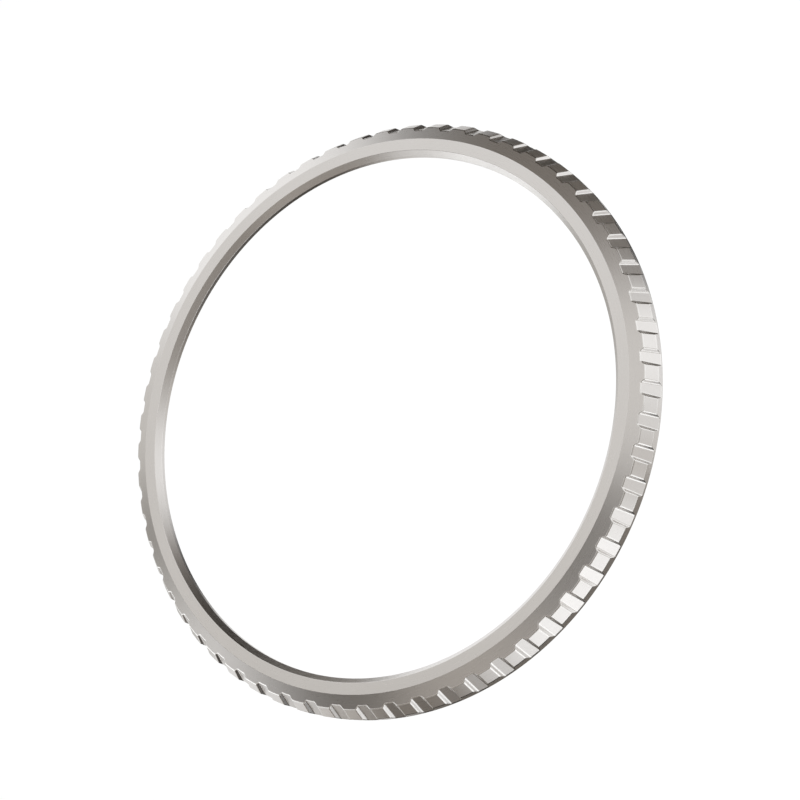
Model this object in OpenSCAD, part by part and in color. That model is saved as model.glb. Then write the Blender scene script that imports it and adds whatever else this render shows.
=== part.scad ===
// Turning grip ring of a smartwatch with the click, sensing and retaining pieces behind it.
// The axis of turning is +Z, the front face points up, and z = 0 is the bonding face on the case.

/* [Grip ring] */
// Outside diameter over the back edge of the grip lands
outer_d = 46; // [44:0.1:50]
// Radial width of the ring, from its bore to its outside
ring_w = 2.9; // [2.84:0.01:3.1]
// Height of the ring, from its back edge to its front face
ring_h = 2.29; // [2.2:0.01:2.5]
// Thickness of the front lip
lip_t = 0.8; // [0.7:0.01:0.86]
// Width of the bevel round the bore
bore_bevel_w = 0.39; // [0.2:0.01:0.5]
// Height of the bevel round the bore
bore_bevel_h = 0.43; // [0.2:0.01:0.5]
// Radial width of the shallow cone outside the flat face
cone_w = 1.04; // [0.9:0.01:1.2]
// Drop of the shallow cone
cone_h = 0.45; // [0.4:0.01:0.5]
// Radial rise of the grip lands, from their front to their back edge
land_w = 0.57; // [0.5:0.01:0.6]
// Height of the grip lands
land_h = 1.03; // [0.95:0.01:1.1]
// How far the band behind the lands draws in at the back edge
band_draw = 0.06; // [0:0.01:0.1]

/* [Grip notches] */
// Number of notches round the edge
notch_count = 60; // [48:1:72]
// Width of a notch across its floor
notch_floor_w = 0.82; // [0.6:0.01:1]
// Lean of a notch's flanks, in degrees from upright
notch_flank = 41; // [20:1:45]
// Radial depth of a notch at the front edge of the lands
notch_front_depth = 0.22; // [0.18:0.01:0.32]
// Radial depth of a notch at the back edge of the lands
notch_back_depth = 0.3; // [0.25:0.01:0.34]

/* [Skirt and fits] */
// Thickness of the skirt at its back edge
skirt_w = 0.54; // [0.5:0.01:0.6]
// Gap between the turning skirt and the case
skirt_gap = 0.12; // [0.08:0.01:0.2]
// Step from the skirt's bore in to the click ring's seat
shoulder_w = 0.3; // [0.25:0.01:0.35]
// Bevel in the outer corner of the click ring's seat
seat_bevel = 0.28; // [0.2:0.01:0.3]
// Radial running clearance between the skirt and the base ring
turn_fit = 0.06; // [0.03:0.01:0.08]
// Clearance round a piece that is bonded or laid in its seat
seat_fit = 0.02; // [0.01:0.01:0.03]
// Clearance round a piece that is held closely but can move
slide_fit = 0.01; // [0.01:0.005:0.02]

/* [Base ring] */
// Height of the base ring
base_h = 0.95; // [0.85:0.01:1.05]
// Radial width of the base ring's wall round the case neck
base_w = 0.89; // [0.85:0.01:1]
// Radial width of the flange that sits over the case neck
flange_w = 0.35; // [0.3:0.01:0.4]
// Thickness of that flange
flange_t = 0.5; // [0.45:0.01:0.55]
// Bevel on the base ring's outer top corner
base_bevel = 0.14; // [0.1:0.01:0.2]
// Thickness of the bonding ring under the base ring
tape_t = 0.05; // [0.05:0.01:0.1]
// How far the bonding ring's edges lie inside the base ring's
tape_inset = 0.06; // [0.02:0.01:0.1]

/* [Glide ring and gasket] */
// Thickness of the glide ring between the base ring and the click ring
glide_t = 0.12; // [0.08:0.01:0.14]
// Clearance beside the glide ring
glide_gap = 0.04; // [0.02:0.01:0.06]
// Thickness of the gasket's cord
gasket_d = 0.2; // [0.16:0.01:0.22]
// Height of the gasket's centre above the retaining wire's
gasket_rise = 0.29; // [0.26:0.01:0.3]

/* [Retaining wire] */
// Thickness of the retaining wire
wire_d = 0.22; // [0.18:0.01:0.24]
// Height of the wire's centre above the ring's back edge
wire_rise = 0.3; // [0.28:0.01:0.32]
// Free play of the wire in the base ring's groove
wire_play = 0.03; // [0.02:0.01:0.04]
// Angle left open between the wire's ends, in degrees
wire_gap = 9; // [4:1:20]

/* [Click ring] */
// Step from the front lip's bore out to the click ring's bore
click_step = 0.63; // [0.5:0.01:0.7]
// Number of clicks in one turn
click_count = 24; // [12:12:60]
// Depth of a click groove
click_depth = 0.13; // [0.1:0.01:0.14]
// Clearance of a click groove round the ball in it
groove_fit = 0.05; // [0.03:0.01:0.1]
// Gap between the click ring's track and the base ring
track_gap = 0.03; // [0.02:0.01:0.05]

/* [Click balls and springs] */
// Number of click balls
ball_count = 3; // [2:1:4]
// Diameter of a click ball
ball_d = 0.5; // [0.44:0.01:0.52]
// Distance of a ball's centre inside the base ring's outside
ball_inset = 0.52; // [0.48:0.01:0.54]
// Floor left under a click spring
pocket_floor = 0.15; // [0.1:0.01:0.2]
// Thickness of the click spring's wire
spring_wire = 0.06; // [0.04:0.005:0.06]
// Turns of a click spring
spring_turns = 4; // [3:1:5]

/* [Magnets] */
// Number of magnets round the click ring
magnet_count = 12; // [6:6:24]
// Length of a magnet along the ring
magnet_l = 1.6; // [1:0.1:2]
// Width of a magnet across the ring
magnet_w = 0.5; // [0.4:0.01:0.5]
// Floor of the click ring left under a magnet
magnet_floor = 0.16; // [0.1:0.01:0.24]
// Wall between the click ring's bore and a magnet's pocket
magnet_wall = 0.2; // [0.12:0.01:0.22]

/* [Hidden] */

// Facets of the large rounds and of the small ones, and how far a cut runs past what it cuts
$fn = 180;
small_fn = 32;
past = 0.5;

// Heights of the fixed pieces, from the case up
base_top = tape_t + base_h;
flange_z = base_top - flange_t;
glide_top = base_top + glide_t;

// Heights of the turning ring, and of the click ring between its lip and the glide ring
back_z = skirt_gap;
front_z = back_z + ring_h;
lip_z = front_z - lip_t;
land_z = glide_top + slide_fit;
track_z = base_top + track_gap;
wire_z = back_z + wire_rise;

// Radii, from the outside in
outer_r = outer_d / 2;
tip_r = outer_r - land_w;
face_r = tip_r - cone_w;
bore_r = outer_r - ring_w;
bevel_r = bore_r + bore_bevel_w;
back_r = outer_r - band_draw;
skirt_r = back_r - skirt_w;
shoulder_r = skirt_r - shoulder_w;
base_r = skirt_r - turn_fit;
neck_r = base_r - base_w;
flange_r = neck_r - flange_w;
click_r = shoulder_r - seat_fit;
click_bore_r = bore_r + click_step;

// Click balls, their pockets and springs
ball_r = ball_d / 2;
pocket_r = ball_r + slide_fit;
ball_circle_r = base_r - ball_inset;
ball_z = track_z + click_depth - slide_fit - ball_r;
pocket_z = tape_t + pocket_floor;
spring_r = ball_r - spring_wire / 2 - seat_fit;
spring_h = ball_z - ball_r - pocket_z;
glide_r = ball_circle_r - pocket_r - glide_gap;
groove_r = ball_r + groove_fit;
ball_angles = [for (i = [0:ball_count - 1]) 360 * i / ball_count];

// Gasket
gasket_z = wire_z + gasket_rise;
gasket_r = skirt_r - slide_fit - gasket_d / 2;

// Magnets, and the floor of their pockets
magnet_r = click_bore_r + magnet_wall + magnet_w / 2;
magnet_seat_z = land_z + magnet_floor;
magnet_t = lip_z - magnet_seat_z - seat_fit;

// Notch floor, a straight line that leans out towards the back
floor_front_r = tip_r - notch_front_depth;
floor_back_r = outer_r - notch_back_depth;
floor_lean = atan((floor_back_r - floor_front_r) / land_h);
cone_z = front_z - cone_h;
land_back_z = cone_z - land_h;

// A ring of square section between two radii and two heights
module flat_ring(inner, outer, low, high) {
    rotate_extrude() translate([inner, low]) square([outer - inner, high - low]);
}

// One grip notch on +X: a bar of keystone section laid along the notch floor
module notch() {
    reach = ring_h + 2 * past;
    half = notch_floor_w / 2;
    spread = half + past * tan(notch_flank);
    translate([floor_back_r, 0, land_back_z]) rotate([0, -floor_lean, 0])
        translate([0, 0, -reach / 2]) linear_extrude(2 * reach)
            polygon([[0, -half], [past, -spread], [past, spread], [0, half]]);
}

module bezel_section() {
    wire_half = wire_d / 2 + slide_fit;
    bevel_low = base_top - base_bevel;
    polygon([
        [bore_r, lip_z],
        [bore_r, front_z - bore_bevel_h],
        [bevel_r, front_z],
        [face_r, front_z],
        [tip_r, cone_z],
        [outer_r, land_back_z],
        [back_r, back_z],
        [skirt_r, back_z],
        [skirt_r, wire_z - wire_half],
        [skirt_r + wire_half, wire_z - wire_half],
        [skirt_r + wire_half, wire_z + wire_half],
        [skirt_r, wire_z + wire_half],
        [skirt_r, bevel_low],
        [shoulder_r, bevel_low + shoulder_w],
        [shoulder_r, lip_z - seat_bevel],
        [shoulder_r - seat_bevel, lip_z],
    ]);
}

module bezel_ring() {
    color([0.78, 0.76, 0.73]) difference() {
        rotate_extrude() bezel_section();
        for (i = [0:notch_count - 1]) rotate(i * 360 / notch_count) notch();
    }
}

module click_section() {
    polygon([
        [click_bore_r, land_z],
        [click_bore_r, lip_z],
        [click_r - seat_bevel, lip_z],
        [click_r, lip_z - seat_bevel],
        [click_r, track_z],
        [glide_r + glide_gap, track_z],
        [glide_r + glide_gap, land_z],
    ]);
}

module click_ring() {
    color([0.16, 0.16, 0.17]) difference() {
        rotate_extrude() click_section();
        for (i = [0:click_count - 1]) rotate(i * 360 / click_count)
            translate([glide_r, 0, track_z + click_depth - groove_r]) rotate([0, 90, 0])
                cylinder(h = click_r - glide_r + past, r = groove_r, $fn = small_fn);
        for (i = [1:magnet_count]) magnet_place(i)
            translate([-magnet_w / 2 - seat_fit, -magnet_l / 2 - seat_fit, magnet_seat_z])
                cube([magnet_w + 2 * seat_fit, magnet_l + 2 * seat_fit, magnet_t + past]);
    }
}

module magnet_place(i) {
    rotate((i - 0.5) * 360 / magnet_count) translate([magnet_r, 0, 0]) children();
}

module magnet(i) {
    color([0.62, 0.62, 0.64]) magnet_place(i)
        translate([-magnet_w / 2, -magnet_l / 2, lip_z - magnet_t]) cube([magnet_w, magnet_l, magnet_t]);
}

// The spring wire ring that locks the turning ring on the base ring
module retaining_wire() {
    color([0.7, 0.7, 0.7]) rotate(180 + wire_gap / 2) rotate_extrude(angle = 360 - wire_gap)
        translate([skirt_r, wire_z]) circle(d = wire_d, $fn = small_fn);
}

// A square groove in a section, open outwards, for a cord of the given centre and half height
module cord_groove(r, z, half) {
    translate([r - half, z - half]) square([past, 2 * half]);
}

module base_section() {
    difference() {
        polygon([
            [neck_r, tape_t],
            [base_r, tape_t],
            [base_r, base_top - base_bevel],
            [base_r - base_bevel, base_top],
            [flange_r, base_top],
            [flange_r, flange_z],
            [neck_r, flange_z],
        ]);
        cord_groove(skirt_r, wire_z, wire_d / 2 + wire_play);
        cord_groove(gasket_r, gasket_z, gasket_d / 2 + slide_fit);
    }
}

module base_ring() {
    color([0.25, 0.25, 0.26]) difference() {
        rotate_extrude() base_section();
        for (a = ball_angles) rotate(a) translate([ball_circle_r, 0, pocket_z])
            cylinder(h = base_top - pocket_z + past, r = pocket_r, $fn = small_fn);
    }
}

module glide_ring() {
    color([0.93, 0.93, 0.9]) flat_ring(flange_r + glide_gap, glide_r, base_top, glide_top);
}

module gasket() {
    color([0.08, 0.08, 0.08]) rotate_extrude()
        translate([gasket_r, gasket_z]) circle(d = gasket_d, $fn = small_fn);
}

module bonding_ring() {
    color([0.12, 0.12, 0.12]) flat_ring(neck_r + tape_inset, base_r - tape_inset, 0, tape_t);
}

module click_ball(i) {
    color([0.8, 0.8, 0.82]) rotate(ball_angles[i - 1])
        translate([ball_circle_r, 0, ball_z]) sphere(d = ball_d, $fn = small_fn);
}

// A coil of round wire as one swept skin with flat ends
module coil(radius, wire, height, turns, sides = 6, rings = 10) {
    last = turns * rings;
    rise = height - wire;
    points = [for (k = [0:last]) let (turn = 360 * k / rings, up = wire / 2 + rise * k / last)
        for (s = [0:sides - 1]) let (around = 360 * (s + 0.5) / sides, out = radius + wire / 2 * cos(around))
            [out * cos(turn), out * sin(turn), up + wire / 2 * sin(around)]];
    skin = [for (k = [0:last - 1]) for (s = [0:sides - 1])
        let (a = k * sides + s, b = k * sides + (s + 1) % sides)
            each [[a, a + sides, b], [b, a + sides, b + sides]]];
    start = [for (s = [1:sides - 2]) [0, s, s + 1]];
    end = [for (s = [1:sides - 2]) [last * sides, last * sides + s + 1, last * sides + s]];
    polyhedron(points, concat(skin, start, end));
}

module click_spring(i) {
    color([0.75, 0.75, 0.75]) rotate(ball_angles[i - 1])
        translate([ball_circle_r, 0, pocket_z]) coil(spring_r, spring_wire, spring_h, spring_turns);
}

bezel_ring();
click_ring();
retaining_wire();
base_ring();
glide_ring();
gasket();
bonding_ring();
for (i = [1:ball_count]) click_ball(i);
for (i = [1:ball_count]) click_spring(i);
for (i = [1:magnet_count]) magnet(i);
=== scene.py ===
import math

import bmesh
import bpy
from mathutils import Matrix, Quaternion, Vector


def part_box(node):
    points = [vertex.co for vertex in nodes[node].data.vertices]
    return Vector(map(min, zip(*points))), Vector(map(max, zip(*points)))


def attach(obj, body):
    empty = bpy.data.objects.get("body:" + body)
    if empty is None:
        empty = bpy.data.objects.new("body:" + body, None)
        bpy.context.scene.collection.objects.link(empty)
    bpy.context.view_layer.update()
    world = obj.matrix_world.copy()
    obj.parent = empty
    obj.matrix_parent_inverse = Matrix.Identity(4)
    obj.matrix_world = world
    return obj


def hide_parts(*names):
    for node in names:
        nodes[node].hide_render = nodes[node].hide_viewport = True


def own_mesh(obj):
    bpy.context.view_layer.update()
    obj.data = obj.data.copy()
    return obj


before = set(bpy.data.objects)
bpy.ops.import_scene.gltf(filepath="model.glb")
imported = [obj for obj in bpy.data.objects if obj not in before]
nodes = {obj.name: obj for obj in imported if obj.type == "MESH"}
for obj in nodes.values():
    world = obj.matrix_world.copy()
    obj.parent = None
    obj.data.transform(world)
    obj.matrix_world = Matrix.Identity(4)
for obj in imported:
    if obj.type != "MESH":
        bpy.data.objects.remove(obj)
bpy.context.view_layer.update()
mm = 0.001

scene = bpy.context.scene
scene.view_settings.view_transform = "Standard"

# the camera stands where the photograph was taken from, millimetres from the ring's origin
cameraView = {
    "place": (133.07, 0.02, 189.44),
    "target": (1.603, 1.510, 2.384),
    "roll": -66.38,        # degrees, from upright
    "lens": 137.74,
}


def linkedObject(name, data):
    piece = bpy.data.objects.new(name, data)
    scene.collection.objects.link(piece)
    return piece


def makeCamera(view):
    data = bpy.data.cameras.new("studioCamera")
    data.lens = view["lens"]
    data.clip_start = 0.01
    camera = linkedObject("studioCamera", data)
    place = Vector(view["place"]) * mm
    aim = Vector(view["target"]) * mm - place
    camera.location = place
    camera.rotation_mode = "QUATERNION"
    roll = Quaternion((0, 0, 1), math.radians(view["roll"]))
    camera.rotation_quaternion = aim.to_track_quat("-Z", "Y") @ roll
    scene.camera = camera


makeCamera(cameraView)
print("camera placed")


def addNode(tree, kind, place, **values):
    node = tree.nodes.new(kind)
    node.location = place
    for key, value in values.items():
        setattr(node, key, value)
    return node


def setSockets(node, values):
    for name, value in values.items():
        node.inputs[name].default_value = value


def newGroup(name, kind, inputs, outputs):
    tree = bpy.data.node_groups.new(name, kind)
    for label, socketType, value in inputs:
        socket = tree.interface.new_socket(label, in_out="INPUT", socket_type=socketType)
        if value is not None:
            socket.default_value = value
    for label, socketType in outputs:
        tree.interface.new_socket(label, in_out="OUTPUT", socket_type=socketType)
    return tree


# one sum; each source is another node's output or a plain number
def addMath(tree, place, operation, *sources):
    node = addNode(tree, "ShaderNodeMath", place, operation=operation)
    for source, socket in zip(sources, node.inputs):
        if isinstance(source, bpy.types.NodeSocket):
            tree.links.new(source, socket)
        else:
            socket.default_value = source
    return node.outputs[0]


def addVector(tree, place, **sources):
    node = addNode(tree, "ShaderNodeCombineXYZ", place)
    for axis, source in sources.items():
        tree.links.new(source, node.inputs[axis])
    return node.outputs[0]


def addNoise(tree, place, vector, values):
    node = addNode(tree, "ShaderNodeTexNoise", place)
    setSockets(node, values)
    tree.links.new(vector, node.inputs["Vector"])
    return node


# spreads the middle of a noise, where most of its values lie, over a range
def spreadValue(tree, place, source, low, high):
    spread = addNode(tree, "ShaderNodeMapRange", place)
    setSockets(spread, {"From Min": 0.3, "From Max": 0.7, "To Min": low, "To Max": high})
    tree.links.new(source, spread.inputs["Value"])
    return spread.outputs["Result"]


# scales are per metre; each look counts its own grain lines, so their scale here stays 1
noises = {
    "grainLines": {"Scale": 1.0, "Detail": 3.0, "Roughness": 0.6},
    "grainCloud": {"Scale": 260.0, "Detail": 4.0, "Roughness": 0.55},
    "broadSpeckle": {"Scale": 300.0, "Detail": 3.0},
    "edgePatches": {"Scale": 2500.0, "Detail": 2.0},
}


# grain left by turning: fine lines that run round the axis, uneven along their length
def turnedGrainGroup():
    tree = newGroup(
        "turnedGrain",
        "ShaderNodeTree",
        [
            ("Lines per mm", "NodeSocketFloat", 30.0),
            ("Length", "NodeSocketFloat", 3.0),
            ("Unevenness", "NodeSocketFloat", 0.4),
        ],
        [("Lines", "NodeSocketFloat"), ("Cloud", "NodeSocketFloat")],
    )
    link = tree.links.new
    start = addNode(tree, "NodeGroupInput", (-1400, 0))
    coords = addNode(tree, "ShaderNodeTexCoord", (-1400, -300))
    parts = addNode(tree, "ShaderNodeSeparateXYZ", (-1200, -300))
    link(coords.outputs["Object"], parts.inputs[0])
    x, y, z = parts.outputs
    angle = addMath(tree, (-1000, -200), "ARCTAN2", y, x)
    radius = addNode(tree, "ShaderNodeVectorMath", (-800, -400), operation="LENGTH")
    link(addVector(tree, (-1000, -400), X=x, Y=y), radius.inputs[0])
    # radius and height in millimetres times the line count, and the angle slowed down
    lineCount = addMath(tree, (-1000, 0), "MULTIPLY", start.outputs["Lines per mm"], 1 / mm)
    across = addMath(tree, (-600, -300), "MULTIPLY", radius.outputs["Value"], lineCount)
    upward = addMath(tree, (-600, -450), "MULTIPLY", z, lineCount)
    along = addMath(tree, (-600, -150), "MULTIPLY", angle, start.outputs["Length"])
    space = addVector(tree, (-400, -300), X=across, Y=along, Z=upward)
    lines = addNoise(tree, (-200, -300), space, noises["grainLines"])
    cloud = addNoise(tree, (-200, -600), coords.outputs["Object"], noises["grainCloud"])
    # a slow cloud fades the lines here and there
    fade = addMath(tree, (0, -450), "MULTIPLY", cloud.outputs["Fac"], start.outputs["Unevenness"])
    strength = addMath(tree, (200, -450), "SUBTRACT", 1.0, fade)
    centred = addMath(tree, (0, -300), "SUBTRACT", lines.outputs["Fac"], 0.5)
    faded = addMath(tree, (400, -300), "MULTIPLY", centred, strength)
    end = addNode(tree, "NodeGroupOutput", (800, -300))
    link(addMath(tree, (600, -300), "ADD", faded, 0.5), end.inputs["Lines"])
    link(cloud.outputs["Fac"], end.inputs["Cloud"])
    return tree


# moulded, ground or rubbery skin: two sizes of speckle
def speckleGroup():
    tree = newGroup(
        "speckle",
        "ShaderNodeTree",
        [("Grains per mm", "NodeSocketFloat", 8.0), ("Detail", "NodeSocketFloat", 3.0)],
        [("Fine", "NodeSocketFloat"), ("Broad", "NodeSocketFloat")],
    )
    link = tree.links.new
    start = addNode(tree, "NodeGroupInput", (-800, 0))
    coords = addNode(tree, "ShaderNodeTexCoord", (-800, -300))
    scale = addMath(tree, (-600, 0), "MULTIPLY", start.outputs["Grains per mm"], 1 / mm)
    fine = addNoise(tree, (-400, -100), coords.outputs["Object"], {})
    link(scale, fine.inputs["Scale"])
    link(start.outputs["Detail"], fine.inputs["Detail"])
    broad = addNoise(tree, (-400, -400), coords.outputs["Object"], noises["broadSpeckle"])
    end = addNode(tree, "NodeGroupOutput", (-100, -200))
    link(fine.outputs["Fac"], end.inputs["Fine"])
    link(broad.outputs["Fac"], end.inputs["Broad"])
    return tree


# worn edges, made lighter also as a painted highlight: where the mesh says that a bevel runs, broken up
# by a small noise
def edgeWearAndHighlightGroup():
    tree = newGroup(
        "edgeWearAndHighlight",
        "ShaderNodeTree",
        [("Amount", "NodeSocketFloat", 0.5)],
        [("WearAndHighlight", "NodeSocketFloat")],
    )
    start = addNode(tree, "NodeGroupInput", (-800, 0))
    edge = addNode(tree, "ShaderNodeAttribute", (-800, -200), attribute_name="edgeMask")
    coords = addNode(tree, "ShaderNodeTexCoord", (-800, -450))
    patches = addNoise(tree, (-600, -450), coords.outputs["Object"], noises["edgePatches"])
    patchy = spreadValue(tree, (-400, -450), patches.outputs["Fac"], 0.55, 1.0)
    brightEdge = addMath(tree, (-200, -300), "MULTIPLY", edge.outputs["Fac"], patchy)
    wearAndHighlight = addMath(tree, (0, -200), "MULTIPLY", brightEdge, start.outputs["Amount"])
    end = addNode(tree, "NodeGroupOutput", (200, -200))
    tree.links.new(wearAndHighlight, end.inputs["WearAndHighlight"])
    return tree


turnedGrain = turnedGrainGroup()
speckle = speckleGroup()
edgeWearAndHighlight = edgeWearAndHighlightGroup()


def newMaterial(name):
    material = bpy.data.materials.new(name)
    material.use_nodes = True
    shader = material.node_tree.nodes["Principled BSDF"]
    return material, material.node_tree, shader


def placeGroup(tree, group, place, values):
    node = addNode(tree, "ShaderNodeGroup", place, node_tree=group)
    setSockets(node, values)
    return node


def mixColours(tree, place, factor, low, high):
    mix = addNode(tree, "ShaderNodeMix", place, data_type="RGBA")
    mix.inputs["A"].default_value = (*low, 1)
    mix.inputs["B"].default_value = (*high, 1)
    tree.links.new(factor, mix.inputs["Factor"])
    return mix.outputs["Result"]


def addBump(tree, shader, place, height, distance):
    bump = addNode(tree, "ShaderNodeBump", place)
    setSockets(bump, {"Strength": 1.0, "Distance": distance})
    tree.links.new(height, bump.inputs["Height"])
    tree.links.new(bump.outputs[0], shader.inputs["Normal"])


# satin or turned metal: grain round the axis, brighter and smoother on the rounded edges, as wear and as
# a painted highlight
def metalMaterial(name, look):
    material, tree, shader = newMaterial(name)
    shader.inputs["Metallic"].default_value = 1.0
    turned = {
        "Lines per mm": look["linesPerMm"],
        "Length": look["lineLength"],
        "Unevenness": look["unevenness"],
    }
    grain = placeGroup(tree, turnedGrain, (-900, 0), turned)
    wearAndHighlight = placeGroup(tree, edgeWearAndHighlight, (-900, -400), {"Amount": look["edgeWearAndHighlight"]})
    body = mixColours(tree, (-600, 200), grain.outputs["Cloud"], look["dark"], look["light"])
    # the rounded edges take the lighter edge colour, as wear and as a painted highlight
    brightEdge = addNode(tree, "ShaderNodeMix", (-350, 200), data_type="RGBA")
    brightEdge.inputs["B"].default_value = (*look["edge"], 1)
    tree.links.new(body, brightEdge.inputs["A"])
    tree.links.new(wearAndHighlight.outputs["WearAndHighlight"], brightEdge.inputs["Factor"])
    tree.links.new(brightEdge.outputs["Result"], shader.inputs["Base Color"])
    roughLow, roughHigh = look["roughness"]
    grainRoughness = spreadValue(tree, (-600, -100), grain.outputs["Lines"], roughLow, roughHigh)
    roughness = addNode(tree, "ShaderNodeMix", (-350, -100), data_type="FLOAT")
    tree.links.new(wearAndHighlight.outputs["WearAndHighlight"], roughness.inputs["Factor"])
    tree.links.new(grainRoughness, roughness.inputs["A"])
    roughness.inputs["B"].default_value = look["edgeRoughness"]
    tree.links.new(roughness.outputs["Result"], shader.inputs["Roughness"])
    addBump(tree, shader, (-350, -400), grain.outputs["Lines"], look["grainDepth"] * mm)
    return material


# moulded plastic, rubber and film: speckled skin
def softMaterial(name, look):
    material, tree, shader = newMaterial(name)
    grains = {"Grains per mm": look["grainsPerMm"], "Detail": look["detail"]}
    skin = placeGroup(tree, speckle, (-900, 0), grains)
    colour = mixColours(tree, (-500, 200), skin.outputs["Broad"], look["dark"], look["light"])
    tree.links.new(colour, shader.inputs["Base Color"])
    roughLow, roughHigh = look["roughness"]
    roughness = spreadValue(tree, (-500, -100), skin.outputs["Fine"], roughLow, roughHigh)
    tree.links.new(roughness, shader.inputs["Roughness"])
    shader.inputs["Specular IOR Level"].default_value = look["specular"]
    addBump(tree, shader, (-500, -400), skin.outputs["Fine"], look["grainDepth"] * mm)
    return material


# colours are linear, and the depth of the grain is in millimetres; edge is the lighter colour of the
# rounded edges, wear and a painted highlight
metalLooks = {
    "gripSteel": {
        "dark": (0.648, 0.626, 0.605),
        "light": (0.677, 0.654, 0.633),
        "edge": (0.79, 0.775, 0.755),
        "roughness": (0.268, 0.292),
        "edgeRoughness": 0.22,
        "linesPerMm": 32.0,
        "lineLength": 14.0,
        "unevenness": 0.5,
        "edgeWearAndHighlight": 0.5,
        "grainDepth": 0.0003,
    },
    "baseSteel": {
        "dark": (0.42, 0.41, 0.40),
        "light": (0.50, 0.49, 0.475),
        "edge": (0.66, 0.65, 0.63),
        "roughness": (0.3, 0.42),
        "edgeRoughness": 0.25,
        "linesPerMm": 14.0,
        "lineLength": 5.0,
        "unevenness": 0.6,
        "edgeWearAndHighlight": 0.7,
        "grainDepth": 0.002,
    },
    "springSteel": {
        "dark": (0.56, 0.55, 0.535),
        "light": (0.66, 0.65, 0.63),
        "edge": (0.74, 0.73, 0.71),
        "roughness": (0.18, 0.28),
        "edgeRoughness": 0.2,
        "linesPerMm": 25.0,
        "lineLength": 40.0,
        "unevenness": 0.5,
        "edgeWearAndHighlight": 0.4,
        "grainDepth": 0.001,
    },
    "ballSteel": {
        "dark": (0.68, 0.68, 0.68),
        "light": (0.74, 0.74, 0.74),
        "edge": (0.74, 0.74, 0.74),
        "roughness": (0.06, 0.12),
        "edgeRoughness": 0.1,
        "linesPerMm": 20.0,
        "lineLength": 200.0,
        "unevenness": 0.8,
        "edgeWearAndHighlight": 0.0,
        "grainDepth": 0.0002,
    },
    "magnetPlating": {
        "dark": (0.56, 0.56, 0.55),
        "light": (0.66, 0.66, 0.65),
        "edge": (0.74, 0.74, 0.73),
        "roughness": (0.14, 0.24),
        "edgeRoughness": 0.14,
        "linesPerMm": 8.0,
        "lineLength": 180.0,
        "unevenness": 0.3,
        "edgeWearAndHighlight": 0.7,
        "grainDepth": 0.001,
    },
}
softLooks = {
    "clickResin": {
        "dark": (0.02, 0.02, 0.022),
        "light": (0.036, 0.036, 0.04),
        "roughness": (0.42, 0.58),
        "specular": 0.5,
        "grainsPerMm": 14.0,
        "detail": 3.0,
        "grainDepth": 0.003,
    },
    "glidePlastic": {
        "dark": (0.80, 0.80, 0.77),
        "light": (0.88, 0.88, 0.85),
        "roughness": (0.3, 0.45),
        "specular": 0.4,
        "grainsPerMm": 6.0,
        "detail": 2.0,
        "grainDepth": 0.001,
    },
    "gasketRubber": {
        "dark": (0.014, 0.014, 0.014),
        "light": (0.03, 0.03, 0.03),
        "roughness": (0.6, 0.85),
        "specular": 0.4,
        "grainsPerMm": 18.0,
        "detail": 4.0,
        "grainDepth": 0.003,
    },
    "bondingFilm": {
        "dark": (0.02, 0.02, 0.02),
        "light": (0.045, 0.045, 0.045),
        "roughness": (0.5, 0.75),
        "specular": 0.35,
        "grainsPerMm": 10.0,
        "detail": 5.0,
        "grainDepth": 0.003,
    },
}
materials = {name: metalMaterial(name, look) for name, look in metalLooks.items()}
materials.update({name: softMaterial(name, look) for name, look in softLooks.items()})
print("materials made:", ", ".join(sorted(materials)))


# the result of an object's modifiers as a plain mesh, with the helper object gone
def settledMesh(piece, name):
    graph = bpy.context.evaluated_depsgraph_get()
    evaluated = piece.evaluated_get(graph)
    mesh = bpy.data.meshes.new_from_object(evaluated, preserve_all_data_layers=True, depsgraph=graph)
    mesh.name = name
    bpy.data.objects.remove(piece)
    return mesh


sharpAngle = math.radians(30)    # edges that bend more than this are rounded


# rounds the edges of a mesh, marks the rounded faces in edgeMask and weights the normals; this is
# done in millimetres, because the weighting loses faces as small as these in metres
def softenEdges(mesh, name, width, segments, byWeight=False):
    mesh.transform(Matrix.Scale(1 / mm, 4))
    helper = linkedObject(name + "Soft", mesh)
    mesh.materials.clear()
    mesh.materials.append(None)
    mesh.materials.append(None)    # the second slot is for the rounded faces
    bevel = helper.modifiers.new("softEdges", "BEVEL")
    bevel.width = width
    bevel.segments = segments
    bevel.limit_method = "WEIGHT" if byWeight else "ANGLE"
    bevel.use_clamp_overlap = not byWeight
    bevel.angle_limit = sharpAngle
    bevel.material = 1
    bevel.face_strength_mode = "FSTR_ALL"
    bevel.miter_outer = "MITER_ARC"
    weigh = helper.modifiers.new("weighNormals", "WEIGHTED_NORMAL")
    weigh.keep_sharp = False
    weigh.use_face_influence = True
    soft = settledMesh(helper, name)
    soft.transform(Matrix.Scale(mm, 4))
    mask = soft.attributes.new("edgeMask", "FLOAT", "FACE")
    mask.data.foreach_set("value", [float(face.material_index) for face in soft.polygons])
    for face in soft.polygons:
        face.material_index = 0
    soft.materials.clear()
    return soft


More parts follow.
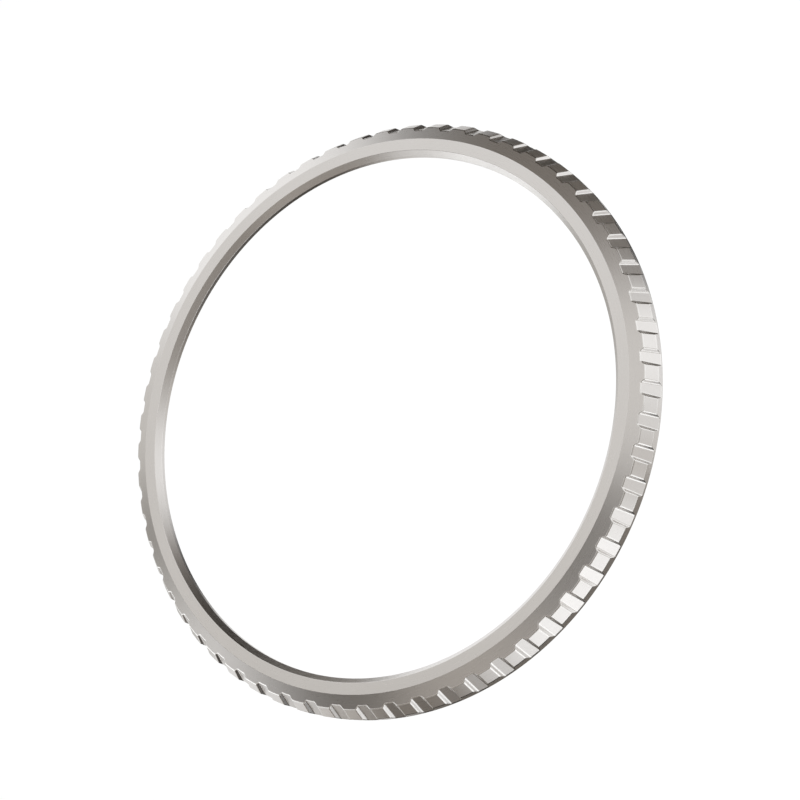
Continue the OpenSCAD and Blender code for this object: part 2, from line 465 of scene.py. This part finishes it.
# the grip ring, in millimetres
gripRing = {
    "outerRadius": 23.0,
    "tipRadius": 22.43,        # front edge of the lands
    "faceRadius": 21.39,       # outer edge of the flat face
    "bevelRadius": 20.49,      # inner edge of the flat face
    "boreRadius": 20.10,
    "bandRadius": 22.94,       # back edge
    "coneDrop": 0.45,          # height of the cone between the face and the lands
    "landHeight": 1.03,
    "bevelDrop": 0.43,         # height of the bevel round the bore
    "lipThickness": 0.80,
    "skirtRadius": 22.4,       # the skirt's bore
    "wireRise": 0.3,           # centre of the wire's groove above the back edge
    "wireHalf": 0.12,          # depth and half the width of that groove
    "bevelLow": 0.74,          # where the skirt's bore starts to draw in, above the back edge
    "shoulder": 0.3,           # step in from the skirt's bore to the click ring's seat
    "seatBevel": 0.28,         # in the outer corner of that seat
    "notches": 60,
    "notchWidth": 1.23,        # at its top, the same from front to back
    "floorWidth": (0.80, 0.88),    # at the front and at the back edge of the lands
    "frontDepth": 0.22,        # of a notch, at the front and at the back edge of the lands
    "backDepth": 0.30,
    "edgeRound": 0.08,
    "edgeSegments": 3,
    "gripRound": 0.9,          # share of that rounding at the lands' front and back edges
    "weld": 0.0002,            # points nearer than this become one
}


def millimetreBox(node):
    low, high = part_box(node)
    return low / mm, high / mm


# where the notch floor, a straight line in the section, runs out into the cone and into the band
def floorEnds(size, coneZ, landBackZ, backZ):
    frontRadius = size["tipRadius"] - size["frontDepth"]
    backRadius = size["outerRadius"] - size["backDepth"]
    lean = (backRadius - frontRadius) / size["landHeight"]
    coneSlope = (size["tipRadius"] - size["faceRadius"]) / size["coneDrop"]
    draw = (size["outerRadius"] - size["bandRadius"]) / (landBackZ - backZ)
    up = size["frontDepth"] / (coneSlope - lean)
    down = size["backDepth"] / (draw + lean)
    front = (size["tipRadius"] - coneSlope * up, coneZ + up)
    back = (size["outerRadius"] - draw * down, landBackZ - down)
    return front, back


# one pitch of the ring, with the notch in its middle, as a row of sections with the same corners
def gripSegment(size):
    low, high = millimetreBox("bezel_ring")
    backZ, frontZ = low.z, high.z
    lipZ = frontZ - size["lipThickness"]
    coneZ = frontZ - size["coneDrop"]
    landBackZ = coneZ - size["landHeight"]
    floorFront, floorBack = floorEnds(size, coneZ, landBackZ, backZ)
    shoulderRadius = size["skirtRadius"] - size["shoulder"]
    wireOut = size["skirtRadius"] + size["wireHalf"]
    wireZ = backZ + size["wireRise"]
    bevelZ = backZ + size["bevelLow"]
    halfTop = size["notchWidth"] / 2
    halfFront, halfBack = (width / 2 for width in size["floorWidth"])
    growth = (halfBack - halfFront) / size["landHeight"]
    lands = [(size["tipRadius"], coneZ), (size["outerRadius"], landBackZ)]
    # radius, height and share of the rounding, from the back edge through the recess to the face
    fixed = [
        (size["bandRadius"], backZ, 0.7),
        (size["skirtRadius"], backZ, 0.5),
        (size["skirtRadius"], wireZ - size["wireHalf"], 0.25),
        (wireOut, wireZ - size["wireHalf"], 0.25),
        (wireOut, wireZ + size["wireHalf"], 0.25),
        (size["skirtRadius"], wireZ + size["wireHalf"], 0.25),
        (size["skirtRadius"], bevelZ, 0.4),
        (shoulderRadius, bevelZ + size["shoulder"], 0.4),
        (shoulderRadius, lipZ - size["seatBevel"], 0.3),
        (shoulderRadius - size["seatBevel"], lipZ, 0.3),
        (size["boreRadius"], lipZ, 0.4),
        (size["boreRadius"], frontZ - size["bevelDrop"], 0.25),
        (size["bevelRadius"], frontZ, 0.25),
        (size["faceRadius"], frontZ, 0.12),
    ]
    roundShare = [size["gripRound"], size["gripRound"]] + [share for radius, z, share in fixed]
    halfPitch = math.pi / size["notches"]
    flankTop = halfTop / size["tipRadius"]
    flankFoot = halfFront / size["tipRadius"]
    # angle of a station, and where its grip surface lies
    halfStations = [
        (halfPitch, "land"),
        ((halfPitch + flankTop) / 2, "land"),
        (flankTop, "flankTop"),
        (flankFoot, "flankFoot"),
        (flankFoot / 2, "floor"),
    ]
    stations = [(-angle, where) for angle, where in halfStations] + [(0.0, "floor")]
    stations += [(angle, where) for angle, where in reversed(halfStations)]
    bm = bmesh.new()
    weight = bm.edges.layers.float.new("bevel_weight_edge")
    columns = []
    for angle, where in stations:
        if where in ("flankFoot", "floor"):
            share = angle / flankFoot
            points = [
                (radius, share * (halfFront + growth * (coneZ - z)), z)
                for radius, z in (floorFront, floorBack)
            ]
        else:
            points = []
            for radius, z in lands:
                turn = angle
                if where == "flankTop":
                    turn = math.copysign(halfTop / radius, angle)
                points.append((radius * math.cos(turn), radius * math.sin(turn), z))
        points += [(radius * math.cos(angle), radius * math.sin(angle), z) for radius, z, share in fixed]
        columns.append([bm.verts.new(Vector(point) * mm) for point in points])
    for left, right in zip(columns, columns[1:]):
        for k, corner in enumerate(left):
            after = (k + 1) % len(left)
            bm.faces.new((corner, left[after], right[after], right[k]))
            bm.edges.get((corner, right[k]))[weight] = roundShare[k]
    for (angle, where), column in zip(stations, columns):
        if where in ("flankTop", "flankFoot"):
            bm.edges.get((column[0], column[1]))[weight] = 1.0    # the long edges of the flanks
    mesh = bpy.data.meshes.new("gripSegment")
    bm.to_mesh(mesh)
    bm.free()
    return linkedObject("gripSegment", mesh)


# the last nodes of a geometry tree: plain mesh, with its material
def endTree(tree, place, geometry, material):
    x, y = place
    realize = addNode(tree, "GeometryNodeRealizeInstances", place)
    finish = addNode(tree, "GeometryNodeSetMaterial", (x + 200, y))
    end = addNode(tree, "NodeGroupOutput", (x + 400, y))
    tree.links.new(geometry, realize.inputs[0])
    tree.links.new(realize.outputs[0], finish.inputs["Geometry"])
    tree.links.new(material, finish.inputs["Material"])
    tree.links.new(finish.outputs[0], end.inputs[0])


# copies of one segment side by side round the axis
def ringOfCopiesTree():
    tree = newGroup(
        "ringOfCopies",
        "GeometryNodeTree",
        [
            ("Segment", "NodeSocketObject", None),
            ("Count", "NodeSocketInt", 60),
            ("Finish", "NodeSocketMaterial", None),
        ],
        [("Geometry", "NodeSocketGeometry")],
    )
    link = tree.links.new
    start = addNode(tree, "NodeGroupInput", (-1000, 0))
    points = addNode(tree, "GeometryNodePoints", (-700, 100))
    link(start.outputs["Count"], points.inputs["Count"])
    info = addNode(tree, "GeometryNodeObjectInfo", (-700, -200))
    link(start.outputs["Segment"], info.inputs["Object"])
    index = addNode(tree, "GeometryNodeInputIndex", (-700, -450))
    step = addMath(tree, (-500, -350), "DIVIDE", 2 * math.pi, start.outputs["Count"])
    turn = addMath(tree, (-300, -400), "MULTIPLY", index.outputs[0], step)
    rotation = addVector(tree, (-100, -400), Z=turn)
    copies = addNode(tree, "GeometryNodeInstanceOnPoints", (100, 0))
    link(points.outputs[0], copies.inputs["Points"])
    link(info.outputs["Geometry"], copies.inputs["Instance"])
    link(rotation, copies.inputs["Rotation"])
    endTree(tree, (300, 0), copies.outputs[0], start.outputs["Finish"])
    return tree


# runs a tree with the given inputs on an empty mesh and returns the plain mesh
def meshFromTree(tree, name, inputs):
    helper = linkedObject(name + "Helper", bpy.data.meshes.new(name + "Helper"))
    modifier = helper.modifiers.new("build", "NODES")
    modifier.node_group = tree
    for item in tree.interface.items_tree:
        if item.in_out == "INPUT":
            modifier[item.identifier] = inputs[item.name]
    return settledMesh(helper, name)


# joins level faces, but only within sectors round the axis, so that none of them runs all the way
# round the bore; the sectors are marked as material numbers for a moment
def joinLevelFaces(bm, angle, sectors):
    for face in bm.faces:
        middle = face.calc_center_median()
        turn = math.atan2(middle.y, middle.x) / (2 * math.pi)
        face.material_index = math.floor(turn * sectors) % sectors
    bmesh.ops.dissolve_limit(
        bm, angle_limit=angle, verts=bm.verts, edges=bm.edges, delimit={"MATERIAL"}
    )
    for face in bm.faces:
        face.material_index = 0


# merges loose faces; with levels given, as an angle and a count of sectors, it joins level ones too
def weldMesh(mesh, distance, levels=None):
    bm = bmesh.new()
    bm.from_mesh(mesh)
    bmesh.ops.remove_doubles(bm, verts=bm.verts, dist=distance)
    if levels:
        joinLevelFaces(bm, *levels)
    bmesh.ops.recalc_face_normals(bm, faces=bm.faces)
    for face in bm.faces:
        face.smooth = True
    bm.to_mesh(mesh)
    bm.free()


def makeGripRing(size):
    segment = gripSegment(size)
    tree = ringOfCopiesTree()
    inputs = {"Segment": segment, "Count": size["notches"], "Finish": materials["gripSteel"]}
    mesh = meshFromTree(tree, "gripRing", inputs)
    bpy.data.objects.remove(segment)
    weldMesh(mesh, size["weld"] * mm)
    mesh = softenEdges(mesh, "gripRing", size["edgeRound"], size["edgeSegments"], byWeight=True)
    mesh.materials.append(materials["gripSteel"])
    ring = linkedObject("gripRing", mesh)
    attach(ring, "bezel")
    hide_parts("bezel_ring")
    print("grip ring:", len(mesh.polygons), "faces")


makeGripRing(gripRing)


# pieces behind the grip ring keep their turned or moulded shape; edge is the width of the rounding
# on their edges, in millimetres
hiddenPieces = {
    "click_ring": {"finish": "clickResin", "edge": 0.03, "body": "bezel", "slot": "click_resin"},
    "retaining_wire": {"finish": "springSteel", "edge": 0.02, "body": "bezel", "slot": "spring_steel"},
    "base_ring": {"finish": "baseSteel", "edge": 0.03, "body": "base", "slot": "base_steel"},
    "glide_ring": {"finish": "glidePlastic", "edge": 0.02, "body": "base", "slot": "glide_plastic"},
    "gasket": {"finish": "gasketRubber", "edge": 0.0, "body": "base", "slot": "gasket_rubber"},
    "bonding_ring": {"finish": "bondingFilm", "edge": 0.01, "body": "base", "slot": "bonding_film"},
}
magnetCount = 12
ballNumbers = (1, 2, 3)
for number in range(1, magnetCount + 1):
    hiddenPieces["magnet_%d" % number] = {
        "finish": "magnetPlating", "edge": 0.04, "body": "bezel", "slot": "magnet_plating"
    }
for number in ballNumbers:
    hiddenPieces["click_ball_%d" % number] = {
        "finish": "ballSteel", "edge": 0.0, "body": "ball_%d" % number, "slot": "ball_steel"
    }
# the same for all of them, in millimetres and degrees
dressing = {
    "weld": 0.0005,        # points nearer than this become one
    "levelAngle": 0.4,     # faces that bend less than this are joined
    "sectors": 24,
    "edgeSegments": 2,
}


def dressPiece(node, look):
    mesh = nodes[node].data.copy()
    name = node + "_dressed"
    if look["edge"]:
        levels = (math.radians(dressing["levelAngle"]), dressing["sectors"])
        weldMesh(mesh, dressing["weld"] * mm, levels)
        mesh = softenEdges(mesh, name, look["edge"], dressing["edgeSegments"])
    else:
        weldMesh(mesh, dressing["weld"] * mm)
    mesh.materials.clear()
    mesh.materials.append(materials[look["finish"]])
    piece = linkedObject(name, mesh)
    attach(piece, look["body"])
    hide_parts(node)


for node, look in hiddenPieces.items():
    dressPiece(node, look)
print("pieces behind the ring:", len(hiddenPieces))


# the click springs: round wire with closed end turns, in millimetres
clickSpring = {
    "wire": 0.06,
    "turns": 5.0,
    "closed": 0.16,        # share of the wire at each end that lies flat
    "pointsPerTurn": 24,
    "sides": 10,
    "travel": 0.14,        # of the ball above it
}


def coilSpringTree():
    tree = newGroup(
        "coilSpring",
        "GeometryNodeTree",
        [
            ("Radius", "NodeSocketFloat", 0.2),
            ("Wire", "NodeSocketFloat", 0.06),
            ("Height", "NodeSocketFloat", 0.45),
            ("Turns", "NodeSocketFloat", 5.0),
            ("Closed", "NodeSocketFloat", 0.16),
            ("Points", "NodeSocketInt", 120),
            ("Sides", "NodeSocketInt", 10),
            ("Place", "NodeSocketVector", (0.0, 0.0, 0.0)),
            ("Finish", "NodeSocketMaterial", None),
        ],
        [("Geometry", "NodeSocketGeometry")],
    )
    link = tree.links.new
    start = addNode(tree, "NodeGroupInput", (-1400, 0))
    line = addNode(tree, "GeometryNodeCurvePrimitiveLine", (-1100, 200))
    dense = addNode(tree, "GeometryNodeResampleCurve", (-900, 200))
    link(line.outputs[0], dense.inputs["Curve"])
    link(start.outputs["Points"], dense.inputs["Count"])
    along = addNode(tree, "GeometryNodeSplineParameter", (-1100, -200))
    turned = addMath(tree, (-900, -100), "MULTIPLY", along.outputs["Factor"], start.outputs["Turns"])
    angle = addMath(tree, (-700, -100), "MULTIPLY", turned, 2 * math.pi)
    sides = []
    for row, operation in enumerate(("COSINE", "SINE")):
        level = -50 - 150 * row
        wave = addMath(tree, (-500, level), operation, angle)
        sides.append(addMath(tree, (-300, level), "MULTIPLY", wave, start.outputs["Radius"]))
    # the climb starts and ends inside the closed turns
    far = addMath(tree, (-900, -450), "SUBTRACT", 1.0, start.outputs["Closed"])
    climb = addNode(tree, "ShaderNodeMapRange", (-700, -400))
    link(along.outputs["Factor"], climb.inputs["Value"])
    link(start.outputs["Closed"], climb.inputs["From Min"])
    link(far, climb.inputs["From Max"])
    room = addMath(tree, (-700, -650), "SUBTRACT", start.outputs["Height"], start.outputs["Wire"])
    rise = addMath(tree, (-500, -500), "MULTIPLY", climb.outputs["Result"], room)
    halfWire = addMath(tree, (-500, -650), "MULTIPLY", start.outputs["Wire"], 0.5)
    height = addMath(tree, (-300, -500), "ADD", rise, halfWire)
    moved = addNode(tree, "ShaderNodeVectorMath", (100, -200), operation="ADD")
    link(addVector(tree, (-100, -200), X=sides[0], Y=sides[1], Z=height), moved.inputs[0])
    link(start.outputs["Place"], moved.inputs[1])
    bent = addNode(tree, "GeometryNodeSetPosition", (300, 100))
    link(dense.outputs[0], bent.inputs["Geometry"])
    link(moved.outputs[0], bent.inputs["Position"])
    section = addNode(tree, "GeometryNodeCurvePrimitiveCircle", (300, -300))
    link(start.outputs["Sides"], section.inputs["Resolution"])
    link(halfWire, section.inputs["Radius"])
    skin = addNode(tree, "GeometryNodeCurveToMesh", (500, 100))
    link(bent.outputs[0], skin.inputs["Curve"])
    link(section.outputs[0], skin.inputs["Profile Curve"])
    skin.inputs["Fill Caps"].default_value = True
    endTree(tree, (700, 100), skin.outputs[0], start.outputs["Finish"])
    return tree


def makeSprings(size):
    tree = coilSpringTree()
    wire = size["wire"] * mm
    for number in ballNumbers:
        node = "click_spring_%d" % number
        low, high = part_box(node)
        middle = (low + high) / 2
        height = high.z - low.z
        inputs = {
            "Radius": (high.y - low.y - wire) / 2,
            "Wire": wire,
            "Height": height,
            "Turns": size["turns"],
            "Closed": size["closed"],
            "Points": int(size["turns"] * size["pointsPerTurn"]),
            "Sides": size["sides"],
            "Place": (middle.x, middle.y, low.z),
            "Finish": materials["springSteel"],
        }
        mesh = meshFromTree(tree, node + "_coil", inputs)
        for face in mesh.polygons:
            face.use_smooth = True
        spring = linkedObject(node + "_coil", mesh)
        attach(spring, "base")
        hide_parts(node)
        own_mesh(spring)
    print("click springs:", len(ballNumbers))


makeSprings(clickSpring)


# the studio: a white room with a pale floor well below the ring, feathered cards that only
# reflections see, and four large soft boxes round the ring
studio = {
    "floorZ": -300,            # millimetres, as all lengths here
    "floorRadius": 3000,
    "floorSides": 96,
    "floorColour": (1.0, 1.0, 1.0),
    "cardDistance": 250,
    "cardStep": 0.5,           # each next card stands this much nearer
    "cardCell": 2.0,           # size of a card's faces, degrees
    "feather": 8.0,            # width of a card's soft edge, degrees
    "boxDistance": 236,
    "boxColour": (0.955, 1.0, 1.045),
    "boxPower": 4,             # watts from a square metre of lamp at a brightness of 1
}
# middle azimuth and elevation, width and height in degrees, colour
cards = {
    "highFront": (329, 76, 108, 31, (0.142, 0.129, 0.115)),
    "front": (325, 27, 127, 40, (0.308, 0.282, 0.254)),
    "highRight": (58, 62, 81, 53, (0.891, 0.878, 0.861)),
    "overhead": (198, 67, 58, 41, (0.907, 0.891, 0.868)),
    "rightUpper": (107, 27, 61, 47, (0.216, 0.192, 0.169)),
    "rightMiddle": (116, 4, 57, 35, (0.022, 0.019, 0.016)),
    "rightLower": (111, -16, 88, 21, (0.205, 0.183, 0.16)),
    "rightFoot": (104, -46, 58, 44, (0.022, 0.019, 0.016)),
    "back": (201, -3, 32, 92, (0.506, 0.492, 0.467)),
    "leftUpper": (237, 54, 50, 51, (0.088, 0.077, 0.066)),
    "leftHigh": (285, 45, 49, 36, (0.563, 0.53, 0.494)),
    "frontLower": (279, -15, 34, 43, (0.278, 0.25, 0.222)),
    "frontDip": (257, -22, 12, 30, (0.639, 0.608, 0.573)),
    "frontFoot": (309, -60, 152, 59, (0.267, 0.241, 0.213)),
    "side": (16, -8, 10, 29, (0.668, 0.638, 0.604)),
    "sideFoot": (31, -54, 25, 21, (0.716, 0.688, 0.656)),
    "frontBand": (309, -39, 92, 37, (0.022, 0.019, 0.016)),
    "leftFoot": (263, -42, 26, 27, (0.022, 0.019, 0.016)),
    "leftGlow": (227, -52, 24, 10, (0.828, 0.808, 0.784)),
    "rightGlow": (83, -54, 29, 31, (0.969, 0.967, 0.964)),
    "leftDeep": (230, -68, 26, 16, (0.077, 0.067, 0.058)),
    "frontGlow": (335, -24, 32, 20, (0.969, 0.967, 0.964)),
    "rightDeep": (98, -40, 23, 23, (0.022, 0.019, 0.016)),
    "backDip": (204, 20, 10, 26, (0.257, 0.244, 0.227)),
    "backRise": (190, 15, 14, 25, (0.917, 0.903, 0.88)),
}
# middle azimuth and elevation, width and height in degrees, brightness
softBoxes = {
    "right": (50, 0, 25, 89, 0.24),
    "back": (165, -2, 26, 54, 0.2),
    "left": (223, -3, 41, 27, 0.59),
    "front": (337, -15, 48, 40, 0.45),
}


# a place round the ring, from degrees and millimetres
def skyPoint(azimuth, elevation, distance):
    azimuth = math.radians(azimuth)
    elevation = math.radians(elevation)
    flat = math.cos(elevation) * distance
    height = math.sin(elevation) * distance
    return Vector((math.cos(azimuth) * flat, math.sin(azimuth) * flat, height)) * mm


def makeWorld():
    world = bpy.data.worlds.new("whiteRoom")
    world.use_nodes = True
    world.cycles.sampling_method = "NONE"
    background = world.node_tree.nodes["Background"]
    setSockets(background, {"Color": (1, 1, 1, 1), "Strength": 1.0})
    scene.world = world


def makeFloor():
    bm = bmesh.new()
    sides, radius = studio["floorSides"], studio["floorRadius"] * mm
    bmesh.ops.create_circle(bm, cap_ends=True, segments=sides, radius=radius)
    for vert in bm.verts:
        vert.co.z = studio["floorZ"] * mm
    mesh = bpy.data.meshes.new("floor")
    bm.to_mesh(mesh)
    bm.free()
    floor = linkedObject("floor", mesh)
    material, tree, shader = newMaterial("paleFloor")
    shader.inputs["Base Color"].default_value = (*studio["floorColour"], 1)
    setSockets(shader, {"Roughness": 1.0, "Specular IOR Level": 0.0})
    mesh.materials.append(material)


# a card glows in its own grey and is see-through towards its edges
def cardMaterial():
    material = bpy.data.materials.new("studioCard")
    material.use_nodes = True
    material.cycles.emission_sampling = "NONE"
    tree = material.node_tree
    tree.nodes.clear()
    tone = addNode(tree, "ShaderNodeAttribute", (-400, 0), attribute_name="tone")
    body = addNode(tree, "ShaderNodeAttribute", (-400, 250), attribute_name="body")
    glow = addNode(tree, "ShaderNodeEmission", (-200, 0))
    clear = addNode(tree, "ShaderNodeBsdfTransparent", (-200, 150))
    blend = addNode(tree, "ShaderNodeMixShader", (0, 100))
    end = addNode(tree, "ShaderNodeOutputMaterial", (200, 100))
    tree.links.new(tone.outputs["Color"], glow.inputs["Color"])
    tree.links.new(body.outputs["Fac"], blend.inputs["Fac"])
    tree.links.new(clear.outputs[0], blend.inputs[1])
    tree.links.new(glow.outputs[0], blend.inputs[2])
    tree.links.new(blend.outputs[0], end.inputs["Surface"])
    return material


def smoothStep(value):
    value = min(max(value, 0.0), 1.0)
    return value * value * (3 - 2 * value)


def makeCard(name, card, distance, material):
    azimuth, elevation, width, height, colour = card
    feather = studio["feather"]
    reachWide = (width + feather) / 2
    reachHigh = (height + feather) / 2
    columns = math.ceil(2 * reachWide / studio["cardCell"])
    rows = math.ceil(2 * reachHigh / studio["cardCell"])
    bm = bmesh.new()
    body = bm.verts.layers.float.new("body")
    grid = []
    for row in range(rows + 1):
        high = reachHigh * (2 * row / rows - 1)
        fadeHigh = smoothStep((reachHigh - abs(high)) / feather)
        line = []
        for column in range(columns + 1):
            wide = reachWide * (2 * column / columns - 1)
            fadeWide = smoothStep((reachWide - abs(wide)) / feather)
            vert = bm.verts.new(skyPoint(azimuth + wide, elevation + high, distance))
            vert[body] = fadeWide * fadeHigh
            line.append(vert)
        grid.append(line)
    for lower, upper in zip(grid, grid[1:]):
        for a, b, c, d in zip(lower, lower[1:], upper[1:], upper):
            bm.faces.new((d, c, b, a))
    mesh = bpy.data.meshes.new(name)
    bm.to_mesh(mesh)
    bm.free()
    tone = mesh.attributes.new("tone", "FLOAT_COLOR", "POINT")
    tone.data.foreach_set("color", (*colour, 1.0) * len(mesh.vertices))
    mesh.materials.append(material)
    piece = linkedObject(name, mesh)
    for ray in ("camera", "diffuse", "transmission", "volume_scatter", "shadow"):
        setattr(piece, "visible_" + ray, False)


def makeCards():
    material = cardMaterial()
    for index, (name, card) in enumerate(cards.items()):
        distance = studio["cardDistance"] - index * studio["cardStep"]
        makeCard("card_" + name, card, distance, material)
    print("cards:", len(cards))


def makeSoftBoxes():
    distance = studio["boxDistance"]
    for name, (azimuth, elevation, width, height, brightness) in softBoxes.items():
        data = bpy.data.lights.new("softBox_" + name, "AREA")
        data.shape = "RECTANGLE"
        data.size = 2 * distance * mm * math.tan(math.radians(width / 2))
        data.size_y = 2 * distance * mm * math.tan(math.radians(height / 2))
        data.energy = studio["boxPower"] * brightness * data.size * data.size_y
        data.color = studio["boxColour"]
        lamp = linkedObject("softBox_" + name, data)
        lamp.location = skyPoint(azimuth, elevation, distance)
        lamp.rotation_mode = "QUATERNION"
        lamp.rotation_quaternion = (-lamp.location).to_track_quat("-Z", "Y")
        lamp.visible_camera = False
    print("soft boxes:", len(softBoxes))


makeWorld()
makeFloor()
makeCards()
makeSoftBoxes()
print("studio ready")
